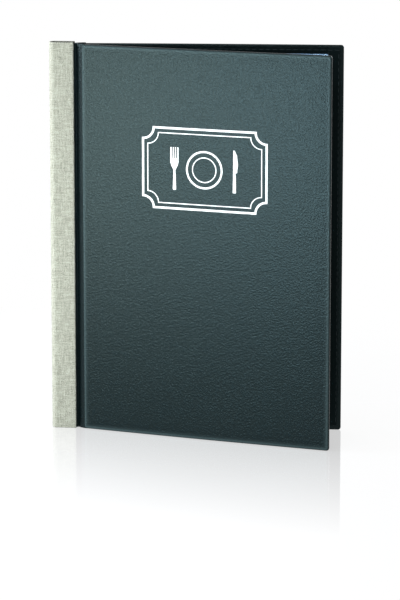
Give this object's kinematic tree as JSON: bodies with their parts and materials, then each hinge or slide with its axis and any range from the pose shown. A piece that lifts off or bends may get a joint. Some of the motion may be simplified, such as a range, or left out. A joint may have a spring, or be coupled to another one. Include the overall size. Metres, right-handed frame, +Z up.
{
  "type": "menu cover",
  "caption": "Stiff A4 menu cover with a linen-covered spine channel, leatherette boards hinged at soft grooves, and a bound stack of clear sleeves.",
  "frame": {"origin": "middle of the footprint's bounding box, on the surface that the cover stands on", "axes": "+Z up along the spine, +X from the spine towards the free edges, -Y towards the front cover's outer face"},
  "size_m": [0.234, 0.0692, 0.3153],
  "materials": {
    "linen": "matt woven linen, grey-beige",
    "leatherette": "slate leatherette, fine grain, satin",
    "lining": "black lining sheet, satin",
    "clear_film": "clear glossy film",
    "white_foil": "white pressed foil, satin, on the front cover",
    "nickel": "nickel-plated, satin"
  },
  "bodies": {
    "binding": {"linen_spine": "linen", "menu_sleeves": "clear_film", "front_groove": "leatherette", "back_groove": "leatherette", "post_lower": "nickel", "post_upper": "nickel", "screw_lower": "nickel", "screw_upper": "nickel"},
    "front_board": {"front_cover": "leatherette", "front_liner": "lining"},
    "back_board": {"back_cover": "leatherette", "back_liner": "lining"}
  },
  "joints": [
    {"name": "front_cover_hinge", "type": "hinge", "parent": "binding", "child": "front_board", "pos_m": [-0.09385, 0.0157, 0], "axis": [0, 0, -1], "range_deg": [-14, 161], "deforming": ["front_groove"]},
    {"name": "back_cover_hinge", "type": "hinge", "parent": "binding", "child": "back_board", "pos_m": [-0.09385, 0.0259, 0], "axis": [0, 0, 1], "range_deg": [-2.5, 172.5], "deforming": ["back_groove"]}
  ]
}
